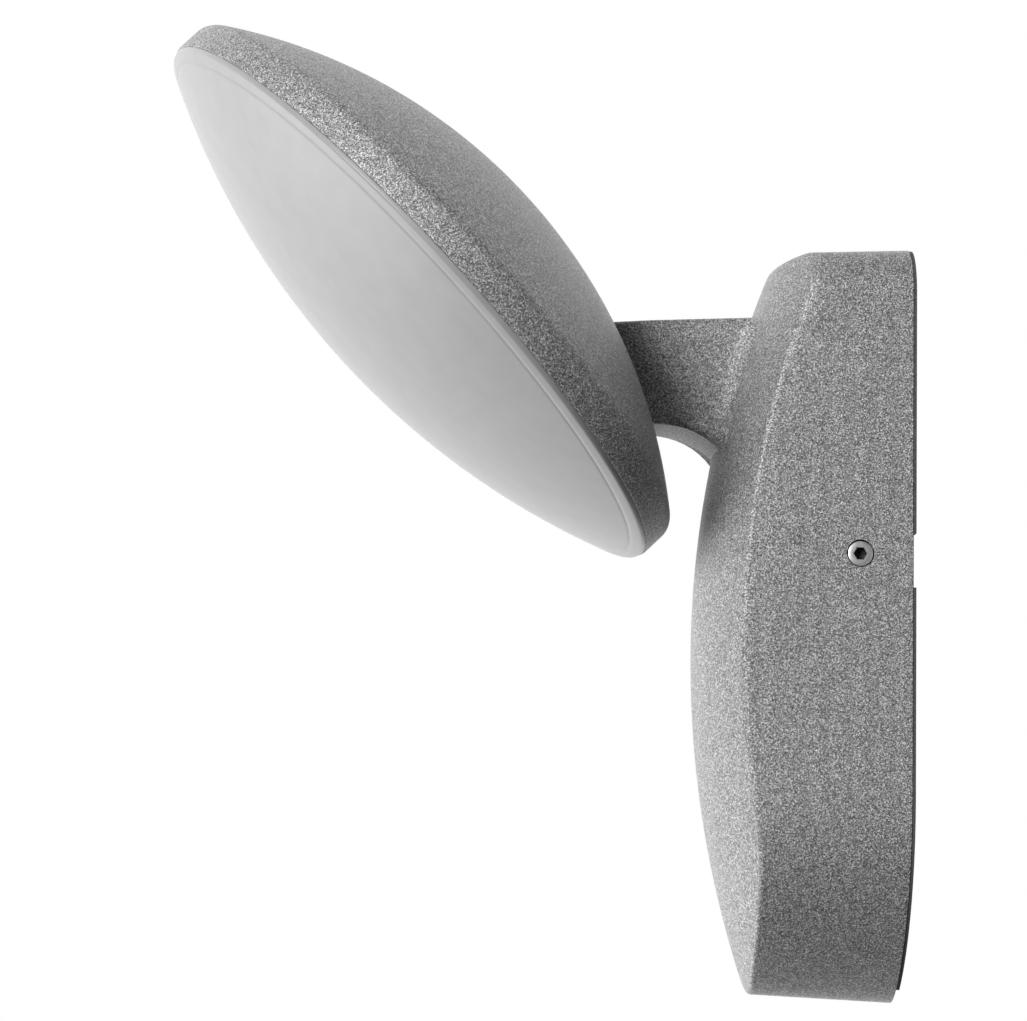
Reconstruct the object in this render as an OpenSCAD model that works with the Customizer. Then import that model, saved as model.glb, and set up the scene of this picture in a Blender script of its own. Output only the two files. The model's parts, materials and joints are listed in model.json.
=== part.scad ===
// Outdoor wall luminaire: a round lens-shaped LED head that tilts on a cast wall housing.
// Wall plane is Y = 0, the front is -Y, up is +Z. The origin lies on the wall plane,
// midway between the two wall screws and level with the two side fixing screws.

/* [Wall housing] */
// Width of the housing at the wall
housing_w = 65; // [54:1:80]
// Height of the housing above the side screws
housing_up = 67.9; // [60:0.1:85]
// Depth of the housing below the side screws
housing_down = 94.2; // [90:0.1:120]
// Greatest distance of the front face from the wall
housing_depth = 44.6; // [40:0.1:53]
// How far below the side screws the front face is deepest
front_peak_drop = 18.5; // [15:0.5:30]
// Radius of the front face seen from the side
front_r = 224; // [190:1:300]
// Radius of the front face seen from above
front_cross_r = 67; // [60:1:140]
// Radius of the two top corners
top_corner_r = 11; // [6:0.5:16]
// Distance below the side screws where the sides begin to curve in
side_curve_drop = 52; // [44:1:60]
// Radius of the rounded bottom tip
tip_r = 17; // [12:0.5:22]
// Casting draft of the side walls
draft = 2.5; // [0.5:0.1:3]
// Wall thickness of the housing casting
housing_wall = 2.6; // [2:0.1:3.4]

/* [Arm] */
// Height of the tilt axis above the side screws
pivot_up = 41.5; // [36:0.1:43]
// Distance of the tilt axis from the wall
pivot_out = 70.5; // [66:0.1:82]
// Width of the arm across the lamp
arm_w = 20; // [16:0.5:24]
// Height of the arm where it enters the head
arm_h = 22; // [19:0.1:24]
// Radius of the arm's round end inside the head
knuckle_r = 7; // [6.5:0.1:7.2]
// Radius of the fillets that flare the arm into the housing
arm_fillet_r = 10; // [4:0.5:12]
// Drop of the arm's underside where it meets the housing
arm_root_drop = 7; // [3:0.5:9]
// Diameter of the lead channel through the arm
channel_d = 6; // [4:0.5:7]

/* [Lamp head] */
// Radius of the head
head_r = 75; // [70:1:90]
// Angle of the light axis below the horizontal
head_droop = 44; // [38:0.5:45]
// Height of the short cylindrical rim wall
rim_h = 7; // [6:0.5:9]
// Rise of the back dome above the rim wall
dome_rise = 25.5; // [20:0.5:27]
// Radius of the rounded corner between rim wall and dome
rim_corner_r = 3.3; // [2:0.1:4]
// Wall thickness of the head casting
head_wall = 2.6; // [2:0.1:3]
// Distance of the tilt axis from the lowest point of the head's rim, along the rim plane
pivot_from_rim = 38; // [35:0.1:38]
// Distance of the tilt axis behind the rim plane
pivot_behind = 15.5; // [14:0.1:15.5]
// Bulge of the diffuser in front of its rim
diffuser_bulge = 17; // [15:0.1:24]
// Wall thickness of the diffuser
diffuser_wall = 2; // [1.5:0.1:2.5]

/* [Tilt joint] */
// Largest tilt towards facing forward
tilt_up = 25; // [10:1:30]
// Largest tilt towards facing down
tilt_down = 5; // [2:1:6]
// Radius of the two pivot screws' shoulders
pin_r = 3; // [2.5:0.1:3.5]
// Radial running clearance of the shoulders in their bushes
pin_gap = 0.05; // [0.02:0.01:0.09]
// Thickness of the friction discs
disc_t = 1; // [0.6:0.1:1.5]
// Clearance between head and arm
swing_gap = 0.4; // [0.3:0.05:0.8]

/* [Wall fixing] */
// Distance between the two slotted wall screw holes
slot_pitch = 60; // [50:1:70]
// Width of the slots for the wall screws
slot_w = 4.6; // [4:0.1:5.5]
// Length of the slots from end to end
slot_len = 10; // [8:0.5:14]
// Thickness of the steel wall bracket
bracket_t = 1.5; // [1.2:0.1:2.5]
// Bore of the cable grommet
cable_d = 8; // [6:0.5:10]
// Distance of the side screws from the wall
side_screw_out = 12; // [10:0.5:15]
// Head diameter of the side screws
side_head_d = 5.5; // [5:0.1:6]
// Thread diameter of the side screws
side_thread_d = 3; // [2.5:0.1:4]
// Thickness of the foam gasket at the wall
gasket_t = 0.8; // [0.6:0.1:1.5]

/* [Electrics] */
// Width, height and depth of the LED driver
driver_size = [40, 46, 20]; // [30:1:50]
// Width, height and depth of the terminal block
terminal_size = [26, 15, 13]; // [10:1:34]
// Diameter of the internal leads
lead_d = 3; // [2:0.5:4]
// Radius of the LED board
board_r = 60; // [55:1:62]
// Thickness of the LED board
board_t = 1.6; // [1:0.1:2]
// Number of LED packages on the outer ring
led_count = 24; // [12:2:36]

/* [Hidden] */
$fn = 96;
eps = 0.01;
soft_gap = 0.1;
fit_gap = 0.3;

// Housing outline, worked out so that each arc runs smoothly into the next
half_w = housing_w / 2;
curve_h = housing_down - side_curve_drop;
side_arc_r = (pow(half_w, 2) + pow(curve_h - tip_r, 2) - pow(tip_r, 2)) / (2 * (half_w - tip_r));
tip_z = tip_r - housing_down;
arc_dir = [side_arc_r - half_w, tip_z + side_curve_drop] / (side_arc_r - tip_r);
tip_join_z = -side_curve_drop + side_arc_r * arc_dir[1];
front_centre_y = front_r - housing_depth;
block_depth = housing_depth + 10;
draft_run = block_depth * tan(draft);
rear_y = -gasket_t;
wide = 400;

// Head, in its own frame: Z runs from the rim plane to the back, Y runs down the disc
dome_r = (pow(head_r, 2) + pow(dome_rise, 2)) / (2 * dome_rise);
dome_top = rim_h + dome_rise;
dome_centre = dome_top - dome_r;
corner_x = head_r - rim_corner_r;
corner_z = dome_centre + sqrt(pow(dome_r - rim_corner_r, 2) - pow(corner_x, 2));
corner_join = corner_x * dome_r / (dome_r - rim_corner_r);
bowl_r = (pow(head_r, 2) + pow(diffuser_bulge, 2)) / (2 * diffuser_bulge);

// Tilt joint and pocket
pivot_offset = head_r - pivot_from_rim;
knuckle_half = arm_w / 2;
pocket_half = knuckle_half + fit_gap + disc_t;
pocket_r = knuckle_r + swing_gap + fit_gap;
pocket_wall = 2.4;
pocket_outer = pocket_half + pocket_wall;
pocket_floor = pivot_behind - pocket_r;
shoulder_in = 4.5;
bush_r = pin_r + 1.3;
pivot_head_r = 4.5;
pivot_head_t = 3;
neck_top = 3.1;
neck_bottom = 13.1;
root_run = pivot_out - housing_depth - neck_bottom;
root_half = 0.25;
root_full = 0.65;
flank = arm_h / 2 + swing_gap + fit_gap;
arm_low = 90 - head_droop - tilt_down;
arm_high = 90 - head_droop + tilt_up;
mouth_half = 3.4;
mouth_from = 172;
mouth_to = 257;
lead_end_gap = 1.6;

// Light unit, stacked from the pocket floor towards the diffuser
spreader_t = 1.5;
pad_t = 0.5;
spreader_r = board_r + 4;
spreader_z = pocket_floor - pocket_wall - soft_gap - spreader_t;
pad_z = spreader_z - pad_t;
board_z = pad_z - board_t;
led_size = 3;
led_t = 0.7;
board_boss_r = 4;
board_boss_at = board_r - 10;
board_screw_r = 1.5;
board_screw_head_r = 2.8;
board_screw_head_t = 1.6;
board_screw_len = 9;
lead_hole_r = lead_d / 2 + 2;
connector_size = [9, 7, 4];
connector_y = pivot_offset - 16;
reflector_t = 0.8;
lip_h = 2.6;
lip_r = head_r - 0.4;
skirt_t = 2;
skirt_h = 4.6;
seal_w = 1;
seal_h = 2;
seal_z = 1.4;
shell_mouth_r = head_r - head_wall;
skirt_r = shell_mouth_r - seal_w;

// Wall fixing
bracket_w = 46;
bracket_h = slot_pitch + slot_len + 14;
tab_h = 16;
tab_gap = 0.6;
tab_reach = side_screw_out + 7;
side_depth_inset = side_screw_out * tan(draft);
housing_inner_half = half_w - housing_wall - tab_reach * tan(draft);
tab_out = housing_inner_half - tab_gap;
side_face = half_w - side_depth_inset;
side_head_t = 2.2;
side_seat = side_face - 0.5;
side_screw_len = side_seat - tab_out + bracket_t + 2;
hex_across = 2.5;
grommet_flange = 2;
grommet_groove_r = cable_d / 2 + 2;
gasket_w = 3;
gasket_inset = 0.3;
gasket_gap_top = 4.5;
gasket_gap_bottom = 7.2;
drain_gap = 16;

// Electrics
driver_y = -8;
driver_z = -50;
driver_ear = 6;
driver_ear_t = 3;
terminal_y = -9;
terminal_z = 19;
terminal_pitch = 8;
small_screw_r = 1.5;
small_head_r = 2.8;
small_head_t = 1.8;
small_boss_r = 3.6;
earth_at = [19, -14, 44];
earth_boss_len = 20;
lead_r = lead_d / 2;
wire_r = 0.9;
arm_top_rise = 1;

// Routes of the leads inside the housing, from end to end
driver_top = driver_z + driver_size[1] / 2;
arm_lead_route = [
    [0, driver_y - 12, driver_top + fit_gap], [0, driver_y - 12, driver_top + 4],
    [-3, driver_y - 15, -16], [-14, driver_y - 20, 0], [-19, driver_y - 20, 14],
    [-17, driver_y - 18, 28], [-8, driver_y - 18, 36], [-2, driver_y - 20, 38],
    [0, driver_y - 24, pivot_up], [0, -38, pivot_up], [0, -50, pivot_up],
    [0, lead_end_gap - pivot_out + 2, pivot_up]
];
supply_route = [
    [0, driver_y - 8, driver_top + fit_gap], [0, driver_y - 8, driver_top + 4],
    [0, driver_y - 7, -14], [0, driver_y - 7, -4], [0, driver_y - 7.5, 4],
    [0, driver_y - 7.5, terminal_z - terminal_size[1] / 2]
];
supply_x = [-terminal_pitch, terminal_pitch];
connector_front = board_z - connector_size[2] / 2;
head_lead_route = [
    [0, pivot_offset, pivot_behind - 2 - lead_end_gap], [0, pivot_offset, 8],
    [0, pivot_offset, 4.5], [0, pivot_offset, 1],
    [0, pivot_offset - 1.5, connector_front + 0.6], [0, pivot_offset - 5, connector_front],
    [0, pivot_offset - 9, connector_front], [0, connector_y + connector_size[1] / 2, connector_front]
];

// Smooth curve through the hand-chosen points, with a ring of the tube at each step
function unit(v) = v / norm(v);
function at(p, i) = p[min(max(i, 0), len(p) - 1)];
function between(p, i, t) =
    0.5 * (2 * at(p, i) + (at(p, i + 1) - at(p, i - 1)) * t
    + (2 * at(p, i - 1) - 5 * at(p, i) + 4 * at(p, i + 1) - at(p, i + 2)) * t * t
    + (3 * at(p, i) - at(p, i - 1) - 3 * at(p, i + 1) + at(p, i + 2)) * t * t * t);
function smooth(p, steps) =
    concat([for (i = [0 : len(p) - 2], k = [0 : steps - 1]) between(p, i, k / steps)], [p[len(p) - 1]]);
function heading(p, i) = unit(at(p, i + 1) - at(p, i - 1));
function ring(p, i, r, sides, ref) =
    let (t = heading(p, i), a = unit(cross(ref, t)), b = cross(t, a))
    [for (k = [0 : sides - 1]) p[i] + r * (cos(360 * k / sides) * a + sin(360 * k / sides) * b)];

module tube(route, r, ref = [1, 0, 0.02], sides = 8, steps = 3) {
    p = smooth(route, steps);
    n = len(p);
    points = [for (i = [0 : n - 1]) each ring(p, i, r, sides, ref)];
    walls = [for (i = [0 : n - 2], k = [0 : sides - 1])
        let (m = (k + 1) % sides)
        [i * sides + k, (i + 1) * sides + k, (i + 1) * sides + m, i * sides + m]];
    start = [for (k = [0 : sides - 1]) k];
    finish = [for (k = [sides - 1 : -1 : 0]) (n - 1) * sides + k];
    polyhedron(points, concat(walls, [start, finish]), convexity = 6);
}

// A cylinder from a point along +X, -X, -Y or +Z
module along_x(x, y, z, r, len) {
    translate([x, y, z]) rotate([0, 90, 0]) cylinder(r = r, h = len);
}

module out_y(x, y, z, r, len) {
    translate([x, y, z]) rotate([90, 0, 0]) cylinder(r = r, h = len);
}

module side_extrude(width) {
    rotate([90, 0, 90]) linear_extrude(width, center = true) children();
}

module both_sides() {
    children();
    mirror([1, 0, 0]) children();
}

module head_frame() {
    translate([0, -pivot_out, pivot_up])
        rotate([head_droop - 90, 0, 0])
            translate([0, -pivot_offset, -pivot_behind])
                children();
}

// Outline of the housing in the wall plane, moved inwards by inset
module outline(inset) {
    side = half_w - inset;
    corner = max(top_corner_r - inset, 1);
    top = housing_up - inset;
    translate([-side, -side_curve_drop]) square([2 * side, side_curve_drop + top - corner]);
    translate([corner - side, 0]) square([2 * (side - corner), top]);
    for (s = [-1, 1])
        translate([s * (side - corner), top - corner]) circle(r = corner);
    intersection() {
        for_arc(inset, 1);
        for_arc(inset, -1);
        translate([-side, tip_join_z]) square([2 * side, -tip_join_z - side_curve_drop + eps]);
    }
    translate([0, tip_z]) circle(r = tip_r - inset);
}

module for_arc(inset, s) {
    translate([s * (side_arc_r - half_w), -side_curve_drop])
        circle(r = side_arc_r - inset, $fn = 180);
}

// The housing's block: outline, drafted ends and sides, and the doubly curved front
module housing_block(inset, rear) {
    intersection() {
        translate([0, rear, 0]) rotate([90, 0, 0]) linear_extrude(block_depth) outline(inset);
        side_extrude(wide) polygon([
            [1, housing_up - inset], [1, inset - housing_down],
            [-block_depth, inset - housing_down + draft_run],
            [-block_depth, housing_up - inset - draft_run]
        ]);
        translate([0, 0, -wide / 2]) linear_extrude(wide) polygon([
            [inset - half_w, 1], [half_w - inset, 1],
            [half_w - inset - draft_run, -block_depth],
            [inset - half_w + draft_run, -block_depth]
        ]);
        translate([0, front_centre_y, -front_peak_drop]) rotate([0, 90, 0])
            rotate_extrude($fn = 240) intersection() {
                translate([front_r - front_cross_r, 0]) circle(r = front_cross_r - inset, $fn = 180);
                translate([front_centre_y - 20, -half_w]) square([wide / 2, housing_w]);
            }
    }
}

// Side view of the arm, from inside the housing to the round end
module arm_side() {
    bottom = pivot_up - arm_h / 2;
    start = neck_bottom - pivot_out;
    polygon([
        [neck_top - pivot_out, pivot_up + arm_h / 2], [-pivot_out, pivot_up + knuckle_r],
        [-pivot_out, pivot_up - knuckle_r], [start, bottom],
        [start + root_run / 2, bottom - root_half * arm_root_drop],
        [start + root_run, bottom - root_full * arm_root_drop],
        [start + 2 * root_run, bottom - 2 * arm_root_drop],
        [start + 2 * root_run, pivot_up + arm_h / 2 + arm_top_rise]
    ]);
    translate([-pivot_out, pivot_up]) circle(r = knuckle_r);
}

// Plan of the arm: a parallel blade with a round fillet on each side of its root
module arm_plan() {
    front = -housing_depth + 2;
    translate([-knuckle_half, -pivot_out - knuckle_r]) square([arm_w, pivot_out + knuckle_r - 26]);
    for (s = [-1, 1]) difference() {
        translate([s * (knuckle_half + arm_fillet_r / 2), front + arm_fillet_r / 2 + 2])
            square([arm_fillet_r, arm_fillet_r + 4], center = true);
        translate([s * (knuckle_half + arm_fillet_r), front]) circle(r = arm_fillet_r);
    }
}

module arm_solid() {
    intersection() {
        side_extrude(wide) arm_side();
        translate([0, 0, -wide / 2]) linear_extrude(wide) arm_plan();
    }
}

module wall_housing() {
    color("silver") difference() {
        union() {
            difference() {
                union() {
                    housing_block(0, rear_y);
                    arm_solid();
                }
                housing_block(housing_wall, 2);
            }
            intersection() {
                housing_block(housing_wall / 2, rear_y);
                housing_bosses();
            }
        }
        both_sides() {
            along_x(side_seat - side_head_t, -side_screw_out, 0, side_head_d / 2 + 0.25, 10);
            along_x(0, -side_screw_out, 0, side_thread_d / 2 + fit_gap, half_w);
            along_x(shoulder_in, -pivot_out, pivot_up, bush_r, knuckle_half);
        }
        out_y(0, -20, pivot_up, channel_d / 2, pivot_out - 20);
        along_x(-mouth_half, -pivot_out, pivot_up, channel_d / 2 + 1, 2 * mouth_half);
        translate([0, -pivot_out, pivot_up]) side_extrude(2 * mouth_half) polygon(concat(
            [[0, 0]], [for (a = [mouth_from : (mouth_to - mouth_from) / 8 : mouth_to])
                1.3 * knuckle_r * [cos(a), sin(a)]]));
        for (p = driver_screw_points()) out_y(p[0], driver_screw_y() + eps, p[1], small_screw_r, 7);
        out_y(0, terminal_y - terminal_size[2] + eps, terminal_z, small_screw_r, 7);
        out_y(earth_at[0], earth_at[1] + eps, earth_at[2], small_screw_r, 6);
    }
}

function driver_screw_y() = driver_y - driver_size[2];
function driver_screw_points() = [
    [0, driver_z + driver_size[1] / 2 + driver_ear / 2],
    [0, driver_z - driver_size[1] / 2 - driver_ear / 2]
];

module housing_bosses() {
    for (p = driver_screw_points()) out_y(p[0], driver_screw_y(), p[1], small_boss_r, 30);
    out_y(0, terminal_y - terminal_size[2], terminal_z, small_boss_r, 30);
    out_y(earth_at[0], earth_at[1], earth_at[2], small_boss_r, earth_boss_len);
}

module wall_bracket() {
    color("gainsboro") difference() {
        union() {
            translate([-bracket_w / 2, -bracket_t, -bracket_h / 2]) cube([bracket_w, bracket_t, bracket_h]);
            translate([-tab_out, -bracket_t, -tab_h / 2]) cube([2 * tab_out, bracket_t, tab_h]);
            both_sides() translate([tab_out - bracket_t, -tab_reach, -tab_h / 2])
                cube([bracket_t, tab_reach, tab_h]);
        }
        out_y(0, 1, 0, grommet_groove_r, bracket_t + 2);
        both_sides() along_x(tab_out - bracket_t - 1, -side_screw_out, 0, side_thread_d / 2, bracket_t + 2);
        for (s = [-1, 1]) translate([0, 1, s * slot_pitch / 2]) rotate([90, 0, 0]) wall_slot();
    }
}

module wall_slot() {
    straight = slot_len - slot_w;
    linear_extrude(bracket_t + 2) {
        square([slot_w, straight], center = true);
        for (s = [-1, 1]) translate([0, s * straight / 2]) circle(d = slot_w);
    }
}

module rear_gasket() {
    color("dimgray") rotate([90, 0, 0]) linear_extrude(gasket_t) difference() {
        outline(gasket_inset);
        outline(gasket_inset + gasket_w);
        translate([-half_w, -gasket_gap_bottom]) square([housing_w, gasket_gap_top + gasket_gap_bottom]);
        translate([-drain_gap / 2, -housing_down]) square([drain_gap, housing_down / 2]);
    }
}

// Socket-head screw along +X with its head's outer face at x = 0
module socket_screw(head_d, head_t, thread_d, len, across) {
    difference() {
        union() {
            along_x(-head_t, 0, 0, head_d / 2, head_t);
            along_x(-len, 0, 0, thread_d / 2, len);
        }
        translate([-head_t * 0.6, 0, 0]) rotate([0, 90, 0])
            cylinder(d = across / cos(30), h = head_t, $fn = 6);
    }
}

module side_screws() {
    color("silver") both_sides() translate([side_seat, -side_screw_out, 0])
        socket_screw(side_head_d, side_head_t, side_thread_d, side_screw_len, hex_across);
}

module cable_grommet() {
    color("black") difference() {
        union() {
            out_y(0, 0, 0, grommet_groove_r, bracket_t);
            out_y(0, -bracket_t, 0, grommet_groove_r + grommet_flange, grommet_flange);
        }
        out_y(0, 1, 0, cable_d / 2, bracket_t + grommet_flange + 2);
    }
}

module terminal_block() {
    size = terminal_size;
    color("whitesmoke") difference() {
        translate([-size[0] / 2, terminal_y - size[2], terminal_z - size[1] / 2])
            cube([size[0], size[2], size[1]]);
        for (i = [-1 : 1]) {
            out_y(i * terminal_pitch, terminal_y + 1, terminal_z + 4, 2, 6);
            out_y(i * terminal_pitch, terminal_y + 1, terminal_z - 4, 2, 6);
        }
        out_y(0, terminal_y + 1, terminal_z, small_screw_r, size[2] + 2);
    }
}

module terminal_screws() {
    color("silver") for (i = [-1 : 1], s = [-1, 1])
        out_y(i * terminal_pitch, terminal_y - 2, terminal_z + s * 4, 1.9, 3);
}

// Pan-head screw along -Y with its head standing behind the seat plane
module pan_screw(x, y, z, len) {
    out_y(x, y + small_head_t, z, small_head_r, small_head_t);
    out_y(x, y, z, small_screw_r, len);
}

module terminal_fixing_screw() {
    color("silver") intersection() {
        pan_screw(0, terminal_y, terminal_z, terminal_size[2] + 6);
        out_y(0, terminal_y + 5, terminal_z, small_screw_r + 0.4, wide);
    }
}

module led_driver() {
    size = driver_size;
    color("white") difference() {
        union() {
            translate([-size[0] / 2, driver_y - size[2], driver_z - size[1] / 2])
                cube([size[0], size[2], size[1]]);
            translate([-driver_ear, driver_y - size[2], driver_z - size[1] / 2 - driver_ear])
                cube([2 * driver_ear, driver_ear_t, size[1] + 2 * driver_ear]);
        }
        for (p = driver_screw_points()) out_y(p[0], 0, p[1], small_screw_r, wide / 4);
    }
}

module driver_screws() {
    color("silver") for (p = driver_screw_points())
        pan_screw(p[0], driver_screw_y() + driver_ear_t, p[1], driver_ear_t + 6);
}

module earth_ring() {
    color("goldenrod") difference() {
        union() {
            out_y(earth_at[0], earth_at[1] + 0.8, earth_at[2], small_boss_r, 0.8);
            translate([earth_at[0] - 1.2, earth_at[1], earth_at[2] - 11]) cube([2.4, 0.8, 9]);
        }
        out_y(earth_at[0], earth_at[1] + 1, earth_at[2], small_screw_r, 2);
    }
}

module earth_screw() {
    color("olivedrab") pan_screw(earth_at[0], earth_at[1] + 0.8, earth_at[2], 6);
}

module supply_leads() {
    color("dimgray") for (x = supply_x) translate([x, 0, 0]) tube(supply_route, wire_r);
}

module arm_lead() {
    color("black") tube(arm_lead_route, lead_r, [0.3, 0.9, 0.1]);
}

module pivot_bushes() {
    color("ivory") both_sides() translate([0, -pivot_out, pivot_up]) difference() {
        along_x(shoulder_in, 0, 0, bush_r, knuckle_half - shoulder_in);
        along_x(0, 0, 0, pin_r + pin_gap, wide / 4);
    }
}

// Section of the head's metal shell, moved inwards by inset
module head_section(inset) {
    square([head_r - inset, corner_z]);
    translate([corner_x, corner_z]) circle(r = rim_corner_r - inset);
    intersection() {
        translate([0, dome_centre]) circle(r = dome_r - inset, $fn = 240);
        square([corner_join - inset, dome_top]);
    }
}

module head_solid(inset) {
    rotate_extrude($fn = 240) intersection() {
        head_section(inset);
        square([head_r, dome_top]);
    }
}

// Swept room for the arm and its round end, with the arm at every angle of its travel
module arm_sweep() {
    reach = 45;
    translate([0, pivot_offset, pivot_behind]) side_extrude(2 * pocket_half) {
        circle(r = pocket_r);
        polygon([
            turned([0, -pocket_r], arm_low), turned([neck_bottom - 0.6, -flank], arm_low),
            turned([neck_bottom + root_run / 2, -flank - root_half * arm_root_drop], arm_low),
            turned([reach, -flank - root_full * arm_root_drop], arm_low), turned([reach, 0], arm_low),
            turned([reach, 0], arm_high), turned([reach, flank], arm_high),
            turned([neck_top - 0.6, flank], arm_high), turned([0, pocket_r], arm_high)
        ]);
    }
}

function turned(p, a) = [p[0] * cos(a) - p[1] * sin(a), p[0] * sin(a) + p[1] * cos(a)];

module head_shell() {
    color("silver") head_frame() difference() {
        union() {
            difference() {
                head_solid(0);
                translate([0, 0, -eps]) head_solid(head_wall);
            }
            intersection() {
                head_solid(head_wall / 2);
                union() {
                    translate([0, 0, spreader_z + spreader_t]) head_inner_room();
                    for (a = [45 : 90 : 315]) rotate(a) translate([board_boss_at, 0, spreader_z + spreader_t])
                        cylinder(r = board_boss_r, h = dome_top);
                }
            }
        }
        arm_sweep();
        along_x(-pocket_outer - 1, pivot_offset, pivot_behind, pin_r, 2 * pocket_outer + 2);
        translate([0, pivot_offset, 0]) cylinder(r = lead_hole_r, h = pivot_behind);
        for (a = [45 : 90 : 315]) rotate(a) translate([board_boss_at, 0, 0])
            cylinder(r = board_screw_r, h = board_z + board_t + board_screw_len);
    }
}

// Walls of the pocket, down to the heat spreader
module head_inner_room() {
    room_up = flank / sin(arm_high) + pocket_wall;
    room_down = flank / sin(arm_low) + root_full * arm_root_drop + pocket_wall;
    translate([-pocket_outer, pivot_offset - room_up, soft_gap])
        cube([2 * pocket_outer, room_up + room_down, dome_top]);
}

module pivot_screws() {
    color("silver") head_frame() both_sides() translate([0, pivot_offset, pivot_behind]) {
        along_x(shoulder_in + fit_gap, 0, 0, pin_r, pocket_outer - shoulder_in - fit_gap);
        along_x(pocket_outer, 0, 0, pivot_head_r, pivot_head_t);
    }
}

module friction_discs() {
    color("dimgray") head_frame() both_sides() translate([0, pivot_offset, pivot_behind]) difference() {
        along_x(knuckle_half + fit_gap, 0, 0, knuckle_r - 0.5, disc_t);
        along_x(0, 0, 0, pin_r, wide / 4);
    }
}

module lead_grommet() {
    floor_t = pocket_wall;
    color("black") head_frame() translate([0, pivot_offset, pocket_floor - floor_t]) difference() {
        cylinder(r = lead_hole_r, h = floor_t);
        translate([0, 0, -1]) cylinder(r = lead_r + soft_gap, h = floor_t + 2);
    }
}

// A disc of the light unit with the lead's hole and the screw holes
module light_disc(r, t, screw_gap) {
    difference() {
        cylinder(r = r, h = t);
        translate([0, pivot_offset, -1]) cylinder(r = lead_hole_r + 0.5, h = t + 2);
        for (a = [45 : 90 : 315]) rotate(a) translate([board_boss_at, 0, -1])
            cylinder(r = board_screw_r + screw_gap, h = t + 2);
    }
}

module heat_spreader() {
    color("lightgray") head_frame() translate([0, 0, spreader_z]) light_disc(spreader_r, spreader_t, 0);
}

module thermal_pad() {
    color("lightsteelblue") head_frame() translate([0, 0, pad_z]) light_disc(board_r - 1, pad_t, 0);
}

module led_board() {
    color("white") head_frame() translate([0, 0, board_z]) light_disc(board_r, board_t, 0);
}

module led_ring(count, r, turn) {
    for (i = [0 : count - 1]) rotate(turn + i * 360 / count) translate([r, 0, board_z - led_t / 2])
        cube([led_size, led_size, led_t], center = true);
}

module led_packages() {
    color("gold") head_frame() {
        led_ring(led_count, board_r - 5, 180 / led_count);
        led_ring(led_count / 2, board_r - 24, 360 / led_count);
        led_ring(led_count / 4, board_r - 46, 0);
    }
}

module board_connector() {
    size = connector_size;
    color("whitesmoke") head_frame() translate([-size[0] / 2, connector_y - size[1] / 2, board_z - size[2]])
        cube(size);
}

module board_screws() {
    color("silver") head_frame() for (a = [45 : 90 : 315]) rotate(a) translate([board_boss_at, 0, board_z]) {
        translate([0, 0, -board_screw_head_t]) cylinder(r = board_screw_head_r, h = board_screw_head_t);
        cylinder(r = board_screw_r, h = board_t + board_screw_len - 1);
    }
}

module reflector_ring() {
    outer = skirt_r - skirt_t - fit_gap;
    color("white") head_frame() translate([0, 0, board_z - reflector_t]) difference() {
        cylinder(r = outer, h = reflector_t);
        translate([0, 0, -1]) cylinder(r = board_r - 2.5, h = reflector_t + 2);
    }
}

module head_lead() {
    color("black") head_frame() tube(head_lead_route, lead_r);
}

module diffuser_seal() {
    color("dimgray") head_frame() translate([0, 0, seal_z]) difference() {
        cylinder(r = shell_mouth_r, h = seal_h, $fn = 240);
        translate([0, 0, -1]) cylinder(r = skirt_r, h = seal_h + 2, $fn = 240);
    }
}

// Half section of the diffuser: convex bowl, round lip at the rim and skirt inside the shell
module diffuser_section() {
    bowl_z = bowl_r - lip_h / 2 - diffuser_bulge;
    difference() {
        intersection() {
            translate([0, bowl_z]) circle(r = bowl_r, $fn = 240);
            translate([0, -bowl_r]) square([lip_r - lip_h / 2, bowl_r]);
        }
        intersection() {
            translate([0, bowl_z]) circle(r = bowl_r - diffuser_wall, $fn = 240);
            translate([0, -bowl_r]) square([skirt_r - skirt_t, 2 * bowl_r]);
        }
    }
    translate([lip_r - lip_h / 2, -lip_h / 2]) circle(r = lip_h / 2);
    translate([skirt_r - skirt_t, -lip_h]) square([lip_r - lip_h / 2 - skirt_r + skirt_t, lip_h]);
    translate([skirt_r - skirt_t, -lip_h]) square([skirt_t, lip_h + skirt_h]);
}

module opal_diffuser() {
    color("white") head_frame() rotate_extrude($fn = 240) intersection() {
        diffuser_section();
        translate([0, -wide]) square([wide, 2 * wide]);
    }
}

wall_bracket();
wall_housing();
rear_gasket();
side_screws();
cable_grommet();
terminal_block();
terminal_screws();
terminal_fixing_screw();
led_driver();
driver_screws();
earth_screw();
earth_ring();
supply_leads();
arm_lead();
pivot_bushes();
head_shell();
pivot_screws();
friction_discs();
lead_grommet();
heat_spreader();
thermal_pad();
led_board();
led_packages();
board_connector();
board_screws();
reflector_ring();
head_lead();
diffuser_seal();
opal_diffuser();
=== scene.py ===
import json
import math

import bmesh
import bpy
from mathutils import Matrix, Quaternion, Vector
from mathutils.geometry import delaunay_2d_cdt


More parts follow.
